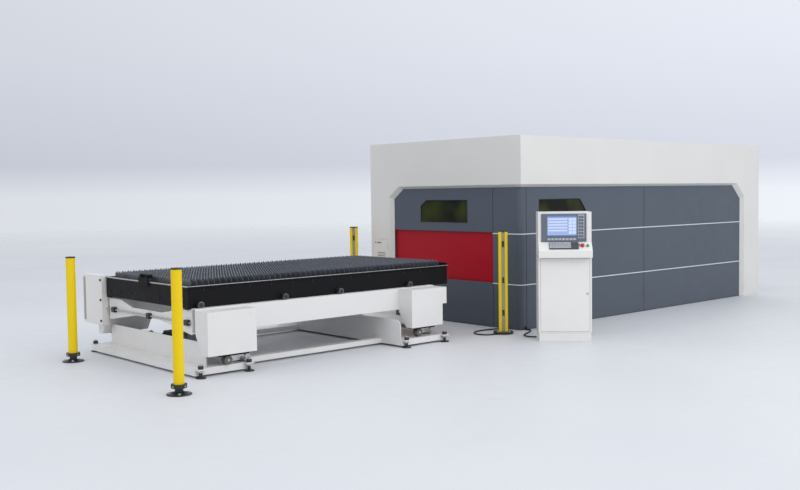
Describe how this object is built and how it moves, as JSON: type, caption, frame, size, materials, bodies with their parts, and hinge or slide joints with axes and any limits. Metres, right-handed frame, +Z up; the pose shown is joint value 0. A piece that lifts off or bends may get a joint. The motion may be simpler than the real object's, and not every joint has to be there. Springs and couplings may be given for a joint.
{
  "type": "fiber laser cutting machine",
  "caption": "Enclosed flat-bed laser cutter with a lifting shuttle table, sliding pallets, a sliding door, a gantry with a cutting head, a console and light-curtain posts.",
  "frame": {"origin": "on the floor, under the middle of the whole installation's footprint", "axes": "+X along the cabin, away from the shuttle table; +Y across it, away from the long side with the window and the console; +Z up"},
  "size_m": [9.9198, 3.7923, 2.2],
  "materials": {
    "white_paint": "semi-gloss powder coat",
    "grey_paint": "satin powder coat",
    "trim_paint": "satin",
    "laser_glass": "laser safety acrylic, green",
    "dark_paint": "satin",
    "red_paint": "semi-gloss",
    "bright_steel": "ground",
    "head_metal": "satin anodised",
    "pallet_paint": "satin black",
    "slat_steel": "dull, blued",
    "table_paint": "semi-gloss powder coat",
    "nylon": "matt",
    "cast_black": "satin black",
    "motor_paint": "satin",
    "wheel_steel": "turned",
    "yellow_paint": "semi-gloss powder coat",
    "optic": "gloss",
    "console_paint": "semi-gloss powder coat",
    "bezel_plastic": "satin",
    "screen_glass": "gloss",
    "key_plastic": "matt",
    "red_plastic": "gloss",
    "green_plastic": "gloss",
    "cable_sheath": "matt"
  },
  "bodies": {
    "machine": {"fascia_front": "white_paint", "fascia_end": "white_paint", "fascia_rear": "white_paint", "fascia_far": "white_paint", "roof_panel": "white_paint", "laser_source": "white_paint", "corner_panel": "grey_paint", "end_panel_upper": "grey_paint", "end_panel_lower": "grey_paint", "front_panel_left": "grey_paint", "front_panel_right": "grey_paint", "rear_panels": "grey_paint", "trim_strips": "trim_paint", "viewing_windows": "laser_glass", "base_frame": "dark_paint", "cabin_frame": "dark_paint", "door_guides": "dark_paint", "machine_bed": "dark_paint", "x_rails": "bright_steel", "table_base": "table_paint", "lever_brackets": "cast_black", "table_feet": "cast_black", "post_bases": "cast_black", "lift_motor": "motor_paint", "mirror_posts": "yellow_paint", "light_curtains": "yellow_paint", "curtain_optics": "optic", "console_cabinet": "console_paint", "console_head": "console_paint", "console_bezel": "bezel_plastic", "console_screen": "screen_glass", "console_keyboard": "key_plastic", "curtain_cable": "cable_sheath", "console_cable": "cable_sheath"},
    "door": {"loading_door": "red_paint"},
    "hatch": {"hatch_door": "white_paint"},
    "lock": {"hatch_lock": "bright_steel"},
    "gantry": {"gantry_beam": "white_paint"},
    "carriage": {"cutting_carriage": "red_paint"},
    "head": {"cutting_head": "head_metal"},
    "inner_pallet": {"inner_pallet_frame": "pallet_paint", "inner_pallet_slats": "slat_steel"},
    "lift_frame": {"front_lift_beam": "table_paint", "rear_lift_beam": "table_paint", "outer_cross_plate": "table_paint", "inner_cross_plate": "table_paint", "wear_plates": "pallet_paint", "drive_cover": "table_paint"},
    "outer_shaft": {"lift_shaft_outer": "bright_steel"},
    "inner_shaft": {"lift_shaft_inner": "bright_steel"},
    "outer_rollers": {"lift_rollers_outer": "nylon"},
    "inner_rollers": {"lift_rollers_inner": "nylon"},
    "pallet": {"pallet_frame": "pallet_paint", "pallet_slats": "slat_steel"},
    "wheels_1": {"wheelset_1": "wheel_steel"},
    "wheels_2": {"wheelset_2": "wheel_steel"},
    "wheels_3": {"wheelset_3": "wheel_steel"},
    "wheels_4": {"wheelset_4": "wheel_steel"},
    "estop": {"estop_button": "red_plastic"},
    "start": {"start_button": "green_plastic"}
  },
  "joints": [
    {"name": "door_lift", "type": "slide", "parent": "machine", "child": "door", "axis": [0, 0, 1], "range_m": [0, 0.6]},
    {"name": "hatch_hinge", "type": "hinge", "parent": "machine", "child": "hatch", "pos_m": [-0.4255, 1.3715, 0.6], "axis": [0, 0, 1], "range_deg": [0, 110]},
    {"name": "lock_turn", "type": "hinge", "parent": "hatch", "child": "lock", "pos_m": [-0.42, 1.622, 0.934], "axis": [1, 0, 0], "range_deg": [0, 90]},
    {"name": "gantry_travel", "type": "slide", "parent": "machine", "child": "gantry", "axis": [1, 0, 0], "range_m": [-3.1, 0]},
    {"name": "carriage_travel", "type": "slide", "parent": "gantry", "child": "carriage", "axis": [0, 1, 0], "range_m": [-0.72, 0.72]},
    {"name": "head_height", "type": "slide", "parent": "carriage", "child": "head", "axis": [0, 0, 1], "range_m": [0, 0.1]},
    {"name": "inner_pallet_travel", "type": "slide", "parent": "machine", "child": "inner_pallet", "axis": [1, 0, 0], "range_m": [-0.2, 0]},
    {"name": "table_lift", "type": "slide", "parent": "machine", "child": "lift_frame", "axis": [0, 0, 1], "range_m": [0, 0.2]},
    {"name": "outer_shaft_turn", "type": "hinge", "parent": "machine", "child": "outer_shaft", "pos_m": [-3.89, 0.35, 0.125], "axis": [0, 1, 0], "range_deg": [0, 50]},
    {"name": "inner_shaft_turn", "type": "hinge", "parent": "machine", "child": "inner_shaft", "pos_m": [-1.59, 0.35, 0.125], "axis": [0, 1, 0], "range_deg": [0, 50]},
    {"name": "outer_roller_spin", "type": "hinge", "parent": "outer_shaft", "child": "outer_rollers", "pos_m": [-4.12, 0.35, 0.125], "axis": [0, 1, 0], "continuous": true},
    {"name": "inner_roller_spin", "type": "hinge", "parent": "inner_shaft", "child": "inner_rollers", "pos_m": [-1.82, 0.35, 0.125], "axis": [0, 1, 0], "continuous": true},
    {"name": "pallet_travel", "type": "slide", "parent": "lift_frame", "child": "pallet", "axis": [1, 0, 0], "range_m": [0, 0.7]},
    {"name": "wheels_1_spin", "type": "hinge", "parent": "pallet", "child": "wheels_1", "pos_m": [-4.27, 0.35, 0.61], "axis": [0, 1, 0], "range_deg": [0, 1340]},
    {"name": "wheels_2_spin", "type": "hinge", "parent": "pallet", "child": "wheels_2", "pos_m": [-3.365, 0.35, 0.61], "axis": [0, 1, 0], "range_deg": [0, 1340]},
    {"name": "wheels_3_spin", "type": "hinge", "parent": "pallet", "child": "wheels_3", "pos_m": [-2.7, 0.35, 0.61], "axis": [0, 1, 0], "range_deg": [0, 1340]},
    {"name": "wheels_4_spin", "type": "hinge", "parent": "pallet", "child": "wheels_4", "pos_m": [-1.77, 0.35, 0.61], "axis": [0, 1, 0], "range_deg": [0, 1340]},
    {"name": "estop_press", "type": "slide", "parent": "machine", "child": "estop", "axis": [0.4624, 0.4327, -0.774], "range_m": [0, 0.005], "stiffness_N_per_m": 800, "springref_m": -0.004},
    {"name": "start_press", "type": "slide", "parent": "machine", "child": "start", "axis": [0.4624, 0.4327, -0.774], "range_m": [0, 0.004], "stiffness_N_per_m": 600, "springref_m": -0.004}
  ],
  "couplings": [
    {"joint": "outer_shaft_turn", "follows": "table_lift", "rad_per_m": 4.3478},
    {"joint": "inner_shaft_turn", "follows": "table_lift", "rad_per_m": 4.3478},
    {"joint": "wheels_1_spin", "follows": "pallet_travel", "rad_per_m": 33.333},
    {"joint": "wheels_2_spin", "follows": "pallet_travel", "rad_per_m": 33.333},
    {"joint": "wheels_3_spin", "follows": "pallet_travel", "rad_per_m": 33.333},
    {"joint": "wheels_4_spin", "follows": "pallet_travel", "rad_per_m": 33.333}
  ]
}
